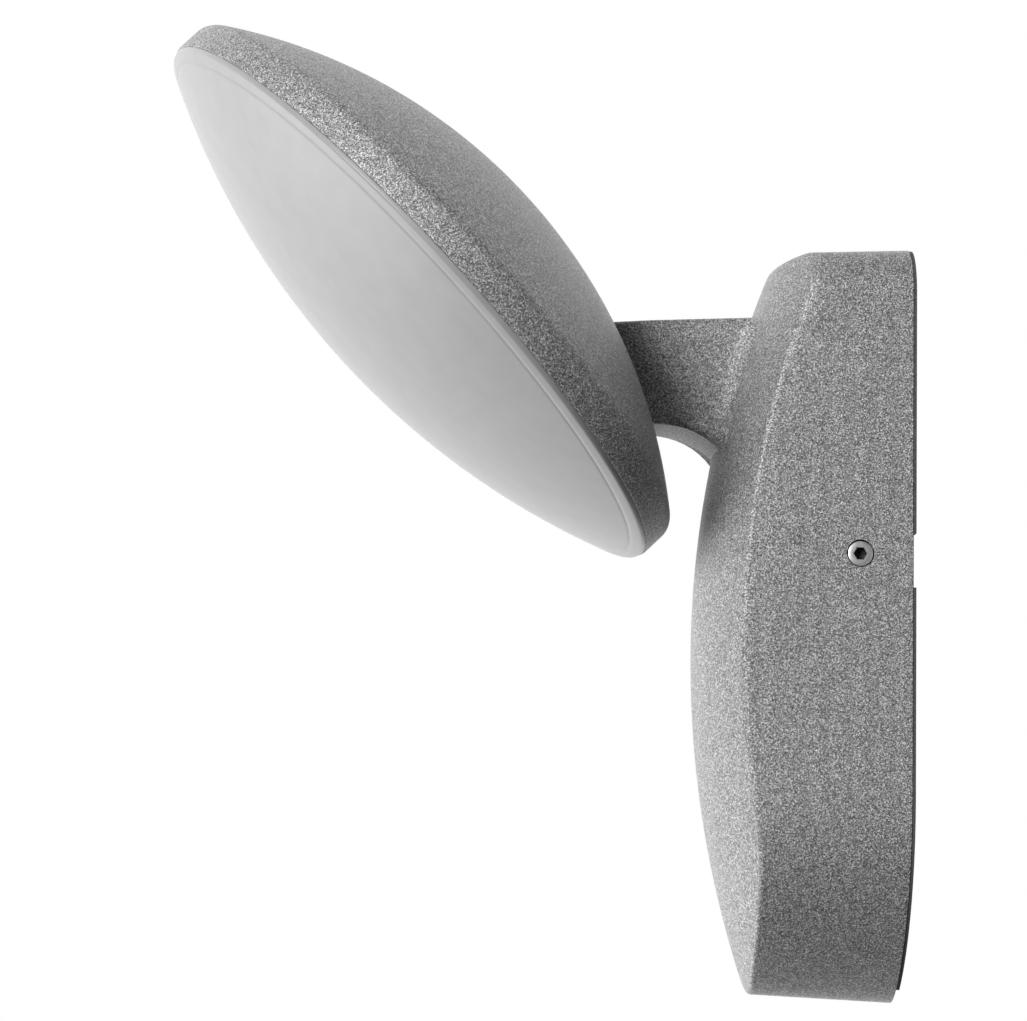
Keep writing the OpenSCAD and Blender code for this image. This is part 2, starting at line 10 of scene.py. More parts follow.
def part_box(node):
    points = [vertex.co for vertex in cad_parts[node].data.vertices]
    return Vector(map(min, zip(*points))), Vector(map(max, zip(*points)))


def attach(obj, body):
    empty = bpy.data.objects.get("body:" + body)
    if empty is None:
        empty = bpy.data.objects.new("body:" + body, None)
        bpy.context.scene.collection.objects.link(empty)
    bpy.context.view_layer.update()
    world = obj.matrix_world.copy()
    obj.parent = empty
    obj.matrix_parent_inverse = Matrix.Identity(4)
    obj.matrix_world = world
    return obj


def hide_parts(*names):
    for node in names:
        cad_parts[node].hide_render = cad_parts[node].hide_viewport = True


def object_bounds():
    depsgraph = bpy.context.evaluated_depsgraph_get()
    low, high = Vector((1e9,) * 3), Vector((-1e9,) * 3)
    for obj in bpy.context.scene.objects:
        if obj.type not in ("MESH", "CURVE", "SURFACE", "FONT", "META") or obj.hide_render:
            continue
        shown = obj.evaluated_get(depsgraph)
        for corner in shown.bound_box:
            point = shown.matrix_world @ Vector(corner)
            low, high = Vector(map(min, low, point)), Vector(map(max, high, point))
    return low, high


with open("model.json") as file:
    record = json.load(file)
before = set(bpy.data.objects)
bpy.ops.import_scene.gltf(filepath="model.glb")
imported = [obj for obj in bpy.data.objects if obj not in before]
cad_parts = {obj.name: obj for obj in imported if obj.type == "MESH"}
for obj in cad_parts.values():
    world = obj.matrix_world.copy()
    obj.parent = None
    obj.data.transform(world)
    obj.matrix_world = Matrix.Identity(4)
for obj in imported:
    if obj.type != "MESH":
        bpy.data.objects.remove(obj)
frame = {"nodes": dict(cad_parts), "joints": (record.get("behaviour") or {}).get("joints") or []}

cad_low, cad_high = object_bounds()
mm = 0.001

# ---- Camera and studio ----
# A long lens looks at the luminaire almost straight from its right side, from slightly below, in a
# white studio: a bright wall on the far side, a key light in front and to the right, and softer
# lights in front on the left and behind.
scene = bpy.context.scene
camera_turn, camera_rise, camera_roll = math.radians(85.1), math.radians(-7.9), math.radians(0.6)
camera_distance, view_width = 1.5, 0.2242
floor_radius, floor_drop = 3.5, 0.8
aim = Vector((0.0, -0.0841, 0.012))
back = Vector((math.sin(camera_turn) * math.cos(camera_rise),
               -math.cos(camera_turn) * math.cos(camera_rise), math.sin(camera_rise)))
camera_data = bpy.data.cameras.new("camera")
camera_data.sensor_width = 36
camera_data.lens = camera_data.sensor_width * camera_distance / view_width
camera = bpy.data.objects.new("camera", camera_data)
camera.location = aim + camera_distance * back
level_look = (-back).to_track_quat("-Z", "Y")
camera.rotation_euler = (level_look @ Quaternion((0, 0, 1), camera_roll)).to_euler()
scene.collection.objects.link(camera)
scene.camera = camera
scene.view_settings.view_transform = "Standard"

floor_shape = bmesh.new()
bmesh.ops.create_circle(floor_shape, cap_ends=True, segments=96, radius=floor_radius)
bmesh.ops.translate(floor_shape, verts=floor_shape.verts, vec=(0, 0, cad_low.z - floor_drop))
floor_mesh = bpy.data.meshes.new("studio_floor")
floor_shape.to_mesh(floor_mesh)
floor = bpy.data.objects.new("studio_floor", floor_mesh)
scene.collection.objects.link(floor)
floor.visible_diffuse = floor.visible_glossy = False


def new_material(name, metallic, roughness):
    """An empty finish, with its node tree and shader."""
    material = bpy.data.materials.new(name)
    material.use_nodes = True
    shader = material.node_tree.nodes["Principled BSDF"]
    shader.inputs["Metallic"].default_value = metallic
    shader.inputs["Roughness"].default_value = roughness
    return material, material.node_tree, shader


def join(tree, pairs):
    for output, given in pairs:
        tree.links.new(output, given)


def grained(name, dark, light, grain, metallic=0.0, roughness=0.5, relief=0.1, stretch=(1, 1, 1)):
    """A finish whose colour runs between two close tones in a noise of that grain, with a fine relief."""
    material, tree, shader = new_material(name, metallic, roughness)
    place = tree.nodes.new("ShaderNodeTexCoord")
    mapping = tree.nodes.new("ShaderNodeMapping")
    mapping.inputs["Scale"].default_value = stretch
    noise = tree.nodes.new("ShaderNodeTexNoise")
    noise.inputs["Scale"].default_value = 1 / grain
    noise.inputs["Detail"].default_value = 4
    tone = tree.nodes.new("ShaderNodeValToRGB")
    tone.color_ramp.elements[0].position = 0.3
    tone.color_ramp.elements[1].position = 0.7
    tone.color_ramp.elements[0].color = (*dark, 1)
    tone.color_ramp.elements[1].color = (*light, 1)
    bump = tree.nodes.new("ShaderNodeBump")
    bump.inputs["Strength"].default_value = relief
    bump.inputs["Distance"].default_value = grain / 4
    join(tree, [(place.outputs["Object"], mapping.inputs["Vector"]),
                (mapping.outputs["Vector"], noise.inputs["Vector"]),
                (noise.outputs["Fac"], tone.inputs["Fac"]),
                (tone.outputs["Color"], shader.inputs["Base Color"]),
                (noise.outputs["Fac"], bump.inputs["Height"]),
                (bump.outputs["Normal"], shader.inputs["Normal"])])
    return material


floor_paint = grained("studio_floor", (0.78, 0.78, 0.78), (0.82, 0.82, 0.82), 20 * mm, roughness=0.8)
floor_mesh.materials.append(floor_paint)

# The camera sees plain white. Light and reflections come from a bright far side and a dim near side.
world = bpy.data.worlds.new("studio")
scene.world = world
world.use_nodes = True
sky = world.node_tree
backdrop = sky.nodes["Background"]
backdrop.inputs["Color"].default_value = (1, 1, 1, 1)
backdrop.inputs["Strength"].default_value = 1.0
wall_light = sky.nodes.new("ShaderNodeBackground")
direction = sky.nodes.new("ShaderNodeTexCoord")
parts = sky.nodes.new("ShaderNodeSeparateXYZ")
behind = sky.nodes.new("ShaderNodeMapRange")
behind.inputs["From Min"].default_value = 0.05
behind.inputs["From Max"].default_value = -0.8
above = sky.nodes.new("ShaderNodeMapRange")
above.inputs["From Min"].default_value = -0.6
above.inputs["From Max"].default_value = 0.3
above.inputs["To Min"].default_value = 0.02
above.inputs["To Max"].default_value = 0.12
both = sky.nodes.new("ShaderNodeMix")
both.inputs["B"].default_value = 2.2
seen = sky.nodes.new("ShaderNodeLightPath")
either = sky.nodes.new("ShaderNodeMixShader")
join(sky, [(direction.outputs["Generated"], parts.inputs["Vector"]),
           (parts.outputs["X"], behind.inputs["Value"]),
           (parts.outputs["Z"], above.inputs["Value"]),
           (behind.outputs["Result"], both.inputs["Factor"]),
           (above.outputs["Result"], both.inputs["A"]),
           (both.outputs["Result"], wall_light.inputs["Strength"]),
           (seen.outputs["Is Camera Ray"], either.inputs["Fac"]),
           (wall_light.outputs["Background"], either.inputs[1]),
           (backdrop.outputs["Background"], either.inputs[2]),
           (either.outputs["Shader"], sky.nodes["World Output"].inputs["Surface"])])


def soft_light(name, place, size, power):
    """A square softbox that faces the luminaire."""
    light = bpy.data.lights.new(name, "AREA")
    light.shape = "SQUARE"
    light.size = size
    light.energy = power
    lamp = bpy.data.objects.new(name, light)
    lamp.location = place
    lamp.rotation_euler = (Vector(place) - aim).to_track_quat("Z", "Y").to_euler()
    scene.collection.objects.link(lamp)


soft_light("key_softbox", (1.25, -1.0, 0.4), 0.5, 23)
soft_light("front_softbox", (-0.9, -1.6, -0.6), 0.9, 10)
soft_light("rear_softbox", (-0.6, 1.4, 0.3), 1.0, 3.5)

# ---- Wall bracket and cable grommet ----
# A zinc-plated steel plate with two tabs, screwed to the wall through its slots. The rubber grommet
# snaps into its middle hole and holds the supply cable.
bracket_edge, grommet_edge = 0.5 * mm, 0.4 * mm
weld_gap, merge_gap = 0.002 * mm, 0.004 * mm


def into_mesh(shape, name, sharp=32):
    """Closes doubles, turns every face outwards and shades round faces smooth."""
    bmesh.ops.remove_doubles(shape, verts=shape.verts, dist=weld_gap)
    bmesh.ops.recalc_face_normals(shape, faces=shape.faces)
    mesh = bpy.data.meshes.new(name)
    shape.to_mesh(mesh)
    shape.free()
    mesh.shade_smooth()
    mesh.set_sharp_from_angle(angle=math.radians(sharp))
    return mesh


def put(name, mesh, material, body, slot, *nodes):
    """Places a finished piece on its body in place of CAD nodes."""
    piece = bpy.data.objects.new(name, mesh)
    scene.collection.objects.link(piece)
    mesh.materials.clear()
    mesh.materials.append(material)
    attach(piece, body)
    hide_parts(*nodes)


def plain_mesh(piece, name):
    """The piece with its modifiers applied, as a new mesh; the piece itself is removed."""
    depsgraph = bpy.context.evaluated_depsgraph_get()
    mesh = bpy.data.meshes.new_from_object(piece.evaluated_get(depsgraph))
    mesh.name = name
    bpy.data.objects.remove(piece)
    return mesh


def machined(node, name, edge=0.0, sharp=32):
    """The CAD node's own shape, merged into clean faces, with its edges broken by a small chamfer."""
    shape = bmesh.new()
    shape.from_mesh(frame["nodes"][node].data)
    bmesh.ops.remove_doubles(shape, verts=shape.verts, dist=merge_gap)
    bmesh.ops.dissolve_limit(shape, angle_limit=math.radians(0.5), verts=shape.verts,
                             edges=shape.edges)
    mesh = into_mesh(shape, name, sharp)
    if edge:
        piece = bpy.data.objects.new(name, mesh)
        scene.collection.objects.link(piece)
        bevel = piece.modifiers.new("edge", "BEVEL")
        bevel.width = edge
        bevel.segments = 2
        bevel.limit_method = "ANGLE"
        bevel.angle_limit = math.radians(50)
        mesh = plain_mesh(piece, name)
        mesh.shade_smooth()
        mesh.set_sharp_from_angle(angle=math.radians(sharp))
    return mesh


zinc = grained("zinc_plate", (0.42, 0.43, 0.45), (0.6, 0.61, 0.62), 3 * mm, metallic=0.9,
               roughness=0.38)
put("wall_bracket_plate", machined("wall_bracket", "wall_bracket_plate", bracket_edge), zinc,
    "wall_unit", "zinc_steel", "wall_bracket")
rubber = grained("black_rubber", (0.02, 0.02, 0.02), (0.045, 0.045, 0.045), 0.6 * mm,
                 roughness=0.75)
put("cable_grommet_ring", machined("cable_grommet", "cable_grommet_ring", grommet_edge), rubber,
    "wall_unit", "black_rubber", "cable_grommet")

# ---- Housing casting with its arm ----
# One aluminium pressure die casting: a shield-shaped box open at the wall, its front doubly curved,
# with the arm growing out of the front in soft fillets. Textured silver powder coat all over.
housing_low, housing_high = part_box("wall_housing")
half_width, housing_top, housing_foot = housing_high.x, housing_high.z, housing_low.z
rear = housing_high.y
pivot = Vector(frame["joints"][0]["pos_m"])
top_corner, side_turn, foot_radius = 11 * mm, -52 * mm, 17 * mm
side_slope = math.tan(math.radians(2.5))
front_depth, front_peak, front_bow, front_crown = 44.6 * mm, -18.5 * mm, 224 * mm, 67 * mm
casting_wall, inner_edge = 2.6 * mm, 0.8 * mm
crisp_edge, broad_edge = 0.7 * mm, 1.6 * mm
crisp_up_to, broad_from = 24 * mm, 62 * mm
outline_step, front_step, inner_step = 1.4 * mm, 1.5 * mm, 3 * mm
row_spacing, edge_clearance = 0.87, 0.55
first_reach, reach_passes = 0.035, 8
foot_middle = housing_foot + foot_radius
side_bow = ((half_width ** 2 + (side_turn - foot_middle) ** 2 - foot_radius ** 2)
            / (2 * (half_width - foot_radius)))
foot_join = math.atan2(side_turn - foot_middle, side_bow - half_width)


def arc(middle, radius, start, end, step):
    """Points of an arc in x and z with the outward direction at each, without the last one."""
    count = max(3, round(abs(end - start) * radius / step))
    turns = [start + (end - start) * i / count for i in range(count)]
    return [(middle[0] + radius * math.cos(a), middle[1] + radius * math.sin(a),
             math.cos(a), math.sin(a)) for a in turns]


def straight(start, end, facing, step):
    count = max(1, round(math.dist(start, end) / step))
    return [(start[0] + (end[0] - start[0]) * i / count,
             start[1] + (end[1] - start[1]) * i / count, *facing) for i in range(count)]


def housing_outline(step):
    """The outline at the wall, clockwise from the top, as x, z and the outward direction there."""
    right = straight((0, housing_top), (half_width - top_corner, housing_top), (0, 1), step)
    right += arc((half_width - top_corner, housing_top - top_corner), top_corner, math.pi / 2, 0, step)
    right += straight((half_width, housing_top - top_corner), (half_width, side_turn), (1, 0), step)
    right += arc((half_width - side_bow, side_turn), side_bow, 0, -foot_join, step)
    right += arc((0, foot_middle), foot_radius, -foot_join, -math.pi / 2, step)
    foot = [(0, housing_foot, 0, -1)]
    left = [(-x, z, -nx, nz) for x, z, nx, nz in reversed(right[1:])]
    return right + foot + left


def front_reach(x, z, inset=0.0):
    """Distance of the curved front from the wall plane at x, z."""
    across = math.sqrt((front_crown - inset) ** 2 - x ** 2) + front_bow - front_crown
    return math.sqrt(across ** 2 - (z - front_peak) ** 2) - front_bow + front_depth


def drafted(point, reach, inset):
    """Where a point of the outline comes to lie that far from the wall, on walls that lean inwards."""
    x, z, nx, nz = point
    lean = inset + reach * side_slope
    return x - nx * lean, z - nz * lean


def edge_radius(z):
    """The front edge is broad round the top and crisp from the arm down."""
    share = min(max((z - crisp_up_to) / (broad_from - crisp_up_to), 0), 1)
    return crisp_edge + (broad_edge - crisp_edge) * share * share * (3 - 2 * share)


def wall_rings(points, inset, edge, rear_at):
    """Rings up the side wall and round the front edge; the last one lies on the front."""
    reaches = []
    for point in points:
        reach = first_reach
        for _ in range(reach_passes):
            reach = front_reach(*drafted(point, reach, inset), inset)
        reaches.append(reach)
    rings = []
    for share in [0, 0.02, 0.2, 0.4, 0.6, 0.8, 1]:
        ring = []
        for point, reach in zip(points, reaches):
            end = reach - edge(point[1])
            at = -rear_at + (end + rear_at) * share
            ring.append((*drafted(point, at, inset), -at))
        rings.append(ring)
    for turn in [15, 30, 45, 60, 75, 90]:
        ring = []
        for point, reach in zip(points, reaches):
            radius = edge(point[1])
            lean = inset + radius * (1 - math.cos(math.radians(turn)))
            back = radius * (1 - math.sin(math.radians(turn)))
            x, z = drafted(point, reach - back, lean)
            ring.append((x, z, back - front_reach(x, z, inset)))
        rings.append(ring)
    return [[Vector((x, y, z)) for x, z, y in ring] for ring in rings]


def inside(x, z, ring):
    """Whether a ring goes round the point x, z, seen from the front."""
    hit = False
    for a, b in zip(ring, ring[1:] + ring[:1]):
        if (a.z > z) != (b.z > z) and x < a.x + (z - a.z) * (b.x - a.x) / (b.z - a.z):
            hit = not hit
    return hit


def add_front(shape, ring, hole, inset, step):
    """Fills the front inside its edge ring with an even net of triangles on the curved front."""
    border = [Vector((p.x, p.z)) for p in ring + hole]
    flat = list(border)
    edges = [(i, (i + 1) % len(ring)) for i in range(len(ring))]
    edges += [(len(ring) + i, len(ring) + (i + 1) % len(hole)) for i in range(len(hole))]
    rows = round((housing_top - housing_foot) / (step * row_spacing))
    for row in range(rows):
        z = housing_foot + row * step * row_spacing
        x = -half_width + (step / 2 if row % 2 else 0)
        while x < half_width:
            spot = Vector((x, z))
            if inside(x, z, ring) and not (hole and inside(x, z, hole)):
                if min((spot - p).length for p in border) > step * edge_clearance:
                    flat.append(spot)
            x += step
    spots, _, faces, _, _, _ = delaunay_2d_cdt(flat, edges, [], 1, 1e-9)
    corners = [shape.verts.new((p.x, -front_reach(p.x, p.y, inset), p.y)) for p in spots]
    for face in faces:
        middle = sum((spots[i] for i in face), Vector((0, 0))) / 3
        if not (hole and inside(middle.x, middle.y, hole)):
            shape.faces.new([corners[i] for i in face])


def add_rings(shape, rings, caps=(False, False)):
    loops = [[shape.verts.new(p) for p in ring] for ring in rings]
    count = len(loops[0])
    for a, b in zip(loops, loops[1:]):
        for i in range(count):
            shape.faces.new((a[i], a[(i + 1) % count], b[(i + 1) % count], b[i]))
    for loop, wanted in ((loops[0], caps[0]), (loops[-1], caps[1])):
        if wanted:
            middle = shape.verts.new(sum((v.co for v in loop), Vector()) / count)
            for i in range(count):
                shape.faces.new((loop[i], loop[(i + 1) % count], middle))


# The arm: a blade with softly broken edges that ends in a round knuckle on the tilt axis.
knuckle, arm_half, arm_edge = 7 * mm, 10 * mm, 1.3 * mm
arm_top, arm_bottom = pivot.z + 11 * mm, pivot.z - 11 * mm
neck_top, neck_bottom = pivot.y + 3.1 * mm, pivot.y + 13.1 * mm
root_top_rise, rise_run = 2.2 * mm, 30 * mm
loft_step, loft_end = 1.5 * mm, pivot.y + 16 * mm


def arm_section(top, bottom):
    """Rounded rectangle as x, z and outward direction, all sections with the same number of points."""
    edge = min(arm_edge, (top - bottom) * 0.45)
    points = []
    for turn, sx, sz in [(0, 1, 1), (90, -1, 1), (180, -1, -1), (270, 1, -1)]:
        cx = sx * (arm_half - edge)
        cz = (top - edge) if sz > 0 else (bottom + edge)
        for k in range(7):
            a = math.radians(turn + 15 * k)
            points.append((cx + edge * math.cos(a), cz + edge * math.sin(a), math.cos(a), math.sin(a)))
        nx = -sx * (arm_half - edge) if turn in (0, 180) else cx
        nz = cz if turn in (0, 180) else ((bottom + edge) if sz > 0 else (top - edge))
        for k in range(1, 12):
            x, z = cx + (nx - cx) * k / 12, cz + (nz - cz) * k / 12
            a = math.radians(turn + 90)
            points.append((x + edge * math.cos(a), z + edge * math.sin(a), math.cos(a), math.sin(a)))
    return points


def arm_heights(y):
    top = arm_top + root_top_rise * min(max((y - neck_top) / rise_run, 0), 1)
    bottom = arm_bottom
    if y < pivot.y:
        half = math.sqrt(max(knuckle ** 2 - (pivot.y - y) ** 2, 0))
        return pivot.z + half, pivot.z - half
    if y < neck_top:
        top = (pivot.z + knuckle
               + (arm_top - pivot.z - knuckle) * (y - pivot.y) / (neck_top - pivot.y))
    if y < neck_bottom:
        bottom = (pivot.z - knuckle
                  + (arm_bottom - pivot.z + knuckle) * (y - pivot.y) / (neck_bottom - pivot.y))
    return top, bottom


# The fillet at the arm's sides, top and underside: its radius in millimetres, and the angle in
# degrees at which it meets the front.
side_fillet, top_fillet, under_fillet = (3.5, 84), (1.6, 45), (25.0, 38)


def root_fillet(nx, nz):
    """Radius and angle of the fillet where the arm's surface faces that way."""
    side, up, down = abs(nx), max(nz, 0), max(-nz, 0)
    total = side + up + down
    radius, angle = [(side * a + up * b + down * c) / total
                     for a, b, c in zip(side_fillet, top_fillet, under_fillet)]
    return radius * mm, math.radians(angle)


def arm_rings():
    rings = []
    for turn in (84, 72, 60, 48, 36, 24, 12):
        y = pivot.y - knuckle * math.sin(math.radians(turn))
        rings.append([Vector((x, y, z)) for x, z, _, _ in arm_section(*arm_heights(y))])
    y = pivot.y
    while y < loft_end:
        rings.append([Vector((x, y, z)) for x, z, _, _ in arm_section(*arm_heights(y))])
        y += loft_step
    root = arm_section(arm_top + root_top_rise * 0.9, arm_bottom)
    last = rings[-1]
    starts = []
    for x, z, nx, nz in root:
        radius, end = root_fillet(nx, nz)
        starts.append(Vector((x, -front_reach(x, z) - radius * math.sin(end), z)))
    for share in (0.2, 0.4, 0.6, 0.8):
        rings.append([a.lerp(b, share) for a, b in zip(last, starts)])
    for share in [i / 8 for i in range(9)]:
        ring = []
        for x, z, nx, nz in root:
            radius, end = root_fillet(nx, nz)
            out = radius * (1 - math.cos(end * share))
            x, z = x + nx * out, z + nz * out
            proud = radius * (math.sin(end) - math.sin(end * share))
            ring.append(Vector((x, -front_reach(x, z) - proud, z)))
        rings.append(ring)
    return rings


def tube_rings(start, along, stations, across, sides=48):
    """Rings round a line: stations are distances along it and radii there."""
    other = along.cross(across)
    return [[start + along * d + r * (math.cos(2 * math.pi * k / sides) * across
                                      + math.sin(2 * math.pi * k / sides) * other)
             for k in range(sides)] for d, r in stations]


def combined(mesh, cutter, how):
    """Joins or cuts one closed shape with another."""
    piece = bpy.data.objects.new("work", mesh)
    tool = bpy.data.objects.new("tool", cutter)
    scene.collection.objects.link(piece)
    scene.collection.objects.link(tool)
    boolean = piece.modifiers.new("cut", "BOOLEAN")
    boolean.operation = how
    boolean.solver = "EXACT"
    boolean.object = tool
    name = mesh.name
    result = plain_mesh(piece, name)
    bpy.data.objects.remove(tool)
    result.shade_smooth()
    result.set_sharp_from_angle(angle=math.radians(32))
    return result


outline = housing_outline(outline_step)
outer_wall = wall_rings(outline, 0, edge_radius, rear)
inner_wall = wall_rings(outline, casting_wall, lambda z: inner_edge, rear)
arm_loft = arm_rings()
casting = bmesh.new()
add_rings(casting, outer_wall)
add_rings(casting, [outer_wall[0], inner_wall[0]])
add_rings(casting, inner_wall)
add_front(casting, outer_wall[-1], arm_loft[-1], 0, front_step)
add_front(casting, inner_wall[-1], [], casting_wall, inner_step)
add_rings(casting, arm_loft, (True, False))
casting_mesh = into_mesh(casting, "housing_casting")

screw_out = (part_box("side_screws")[0].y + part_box("side_screws")[1].y) / 2
screw_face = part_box("side_screws")[1].x
screw_line = Vector((0, screw_out, 0))
right, upward = Vector((1, 0, 0)), Vector((0, 0, 1))
counterbore, screw_hole, bush_hole, lead_bore = 3.0 * mm, 1.8 * mm, 4.3 * mm, 3 * mm
bores = bmesh.new()


def bored(start, along, first, last, radius):
    """A plain round cutter on a line, from the first distance along it to the last."""
    add_rings(bores, tube_rings(start, along, [(first, radius), (last, radius)], upward), (True, True))


for side in (1, -1):
    bored(screw_line, right * side, screw_face - 2.3 * mm, screw_face + 4 * mm, counterbore)
    bored(screw_line, right * side, screw_face - 5 * mm, screw_face + 1 * mm, screw_hole)
    bored(pivot, right * side, 4.5 * mm, arm_half + 4 * mm, bush_hole)
bored(Vector((0, pivot.y - 2 * mm, pivot.z)), Vector((0, 1, 0)), 0, 46 * mm, lead_bore)
casting_mesh = combined(casting_mesh, into_mesh(bores, "bores"), "DIFFERENCE")

flake, speck = 0.21 * mm, 0.27 * mm
flake_dark, flake_mid, flake_light = (0.09, 0.09, 0.09), (0.36, 0.36, 0.365), (1.0, 1.0, 1.0)
speck_share, flake_lean = 0.25, 0.3


def powder_coat():
    """Silver powder coat: fine and sandy, with dark and bright flakes that each lean their own way."""
    material, tree, shader = new_material("silver_powder_coat", 0.35, 0.6)
    place = tree.nodes.new("ShaderNodeTexCoord")
    flakes = tree.nodes.new("ShaderNodeTexVoronoi")
    flakes.inputs["Scale"].default_value = 1 / flake
    patches = tree.nodes.new("ShaderNodeTexNoise")
    patches.inputs["Scale"].default_value = 1 / speck
    patches.inputs["Detail"].default_value = 3
    parts = tree.nodes.new("ShaderNodeSeparateColor")
    weight = tree.nodes.new("ShaderNodeMix")
    weight.inputs["Factor"].default_value = speck_share
    tone = tree.nodes.new("ShaderNodeValToRGB")
    tone.color_ramp.elements[0].position = 0.12
    tone.color_ramp.elements[0].color = (*flake_dark, 1)
    tone.color_ramp.elements[1].position = 0.95
    tone.color_ramp.elements[1].color = (*flake_light, 1)
    middle = tone.color_ramp.elements.new(0.6)
    middle.color = (*flake_mid, 1)
    centred = tree.nodes.new("ShaderNodeVectorMath")
    centred.operation = "SUBTRACT"
    centred.inputs[1].default_value = (0.5, 0.5, 0.5)
    leaning = tree.nodes.new("ShaderNodeVectorMath")
    leaning.operation = "SCALE"
    leaning.inputs["Scale"].default_value = flake_lean
    surface = tree.nodes.new("ShaderNodeNewGeometry")
    leant = tree.nodes.new("ShaderNodeVectorMath")
    leant.operation = "ADD"
    level = tree.nodes.new("ShaderNodeVectorMath")
    level.operation = "NORMALIZE"
    bump = tree.nodes.new("ShaderNodeBump")
    bump.inputs["Strength"].default_value = 0.5
    bump.inputs["Distance"].default_value = 0.12 * mm
    join(tree, [(place.outputs["Object"], flakes.inputs["Vector"]),
                (place.outputs["Object"], patches.inputs["Vector"]),
                (flakes.outputs["Color"], parts.inputs["Color"]),
                (parts.outputs["Red"], weight.inputs["A"]),
                (patches.outputs["Fac"], weight.inputs["B"]),
                (weight.outputs["Result"], tone.inputs["Fac"]),
                (tone.outputs["Color"], shader.inputs["Base Color"]),
                (flakes.outputs["Color"], centred.inputs[0]), (centred.outputs[0], leaning.inputs[0]),
                (surface.outputs["Normal"], leant.inputs[0]), (leaning.outputs[0], leant.inputs[1]),
                (leant.outputs[0], level.inputs[0]), (level.outputs[0], bump.inputs["Normal"]),
                (patches.outputs["Fac"], bump.inputs["Height"]),
                (bump.outputs["Normal"], shader.inputs["Normal"])])
    return material


coat = powder_coat()
put("housing_casting", casting_mesh, coat, "wall_unit", "painted_body", "wall_housing")

# ---- Rear gasket ----
# A closed-cell foam strip stuck round the back of the casting, left open level with the side screws
# and at the foot, where water drains out.
foam = grained("black_foam", (0.07, 0.07, 0.07), (0.13, 0.13, 0.13), 0.5 * mm, roughness=0.9, relief=0.5)
put("foam_gasket", machined("rear_gasket", "foam_gasket"), foam, "wall_unit", "black_rubber",
    "rear_gasket")

# ---- Side screws ----
# Two stainless M3 socket-head screws, sunk in the side walls, that hold the casting to the bracket tabs.
screw_head, screw_rim, socket = 2.75 * mm, 0.35 * mm, 2.5 * mm
side_screws = bmesh.new()
for side in (1, -1):
    stations = [(-7.6 * mm, 1.2 * mm), (-7.2 * mm, 1.5 * mm), (-2.2 * mm, 1.5 * mm), (-2.2 * mm, screw_head),
                (-screw_rim, screw_head), (-screw_rim * 0.3, screw_head - screw_rim * 0.3),
                (0, screw_head - screw_rim), (0, socket * 0.62)]
    face_middle, across = Vector((side * screw_face, screw_out, 0)), (right * side).cross(upward)
    shaft = tube_rings(face_middle, right * side, stations, upward)
    hexagon = []
    for depth, widening in [(0, 0.1 * mm), (0.15 * mm, 0), (1.9 * mm, 0)]:
        middle, flat, ring = Vector((side * (screw_face - depth), screw_out, 0)), socket / 2 + widening, []
        for k in range(48):
            a = 2 * math.pi * k / 48
            reach = flat / math.cos((a + math.pi / 6) % (math.pi / 3) - math.pi / 6)
            ring.append(middle + reach * (math.cos(a) * upward + math.sin(a) * across))
        hexagon.append(ring)
    floor_ring = tube_rings(face_middle, right * side, [(-2.1 * mm, 0.4 * mm)], upward)
    add_rings(side_screws, shaft + hexagon + floor_ring, (True, True))
# Painted shade in the screw sockets: the depth below the screw face where the painted shade is full, the
# depth where it starts, and the share of the steel's tone left at full shade.
painted_shade_full_depth, painted_shade_start_depth, socket_shade = 0.8 * mm, 0.4 * mm, 0.04
bright_steel = grained("bright_stainless", (0.78, 0.78, 0.79), (0.92, 0.92, 0.93), 0.5 * mm,
                      metallic=0.75, roughness=0.42, relief=0.04)


def socket_steel_painted_shade():
    """The same stainless, with painted shade in the socket: the steel is painted darker with depth below the
    screw face.
    """
    material = grained("side_screw_steel_painted_shade", (0.7, 0.7, 0.71), (0.88, 0.88, 0.89), 0.5 * mm,
                       metallic=0.75, roughness=0.42, relief=0.04)
    tree = material.node_tree
    colour = tree.nodes["Principled BSDF"].inputs["Base Color"]
    steel = colour.links[0].from_socket
    place = tree.nodes.new("ShaderNodeTexCoord")
    parts = tree.nodes.new("ShaderNodeSeparateXYZ")
    outward = tree.nodes.new("ShaderNodeMath")
    outward.operation = "ABSOLUTE"
    # Painted shade: full steel tone near the screw face, falling to the shade share deeper in the socket.
    bare = tree.nodes.new("ShaderNodeMapRange")
    bare.inputs["From Min"].default_value = screw_face - painted_shade_full_depth
    bare.inputs["From Max"].default_value = screw_face - painted_shade_start_depth
    bare.inputs["To Min"].default_value = socket_shade
    shaded = tree.nodes.new("ShaderNodeVectorMath")
    shaded.operation = "SCALE"
    join(tree, [(place.outputs["Object"], parts.inputs["Vector"]),
                (parts.outputs["X"], outward.inputs[0]), (outward.outputs[0], bare.inputs["Value"]),
                (steel, shaded.inputs[0]), (bare.outputs["Result"], shaded.inputs["Scale"]),
                (shaded.outputs[0], colour)])
    return material


put("side_screw_pair", into_mesh(side_screws, "side_screw_pair", 25), socket_steel_painted_shade(),
    "wall_unit", "stainless", "side_screws")

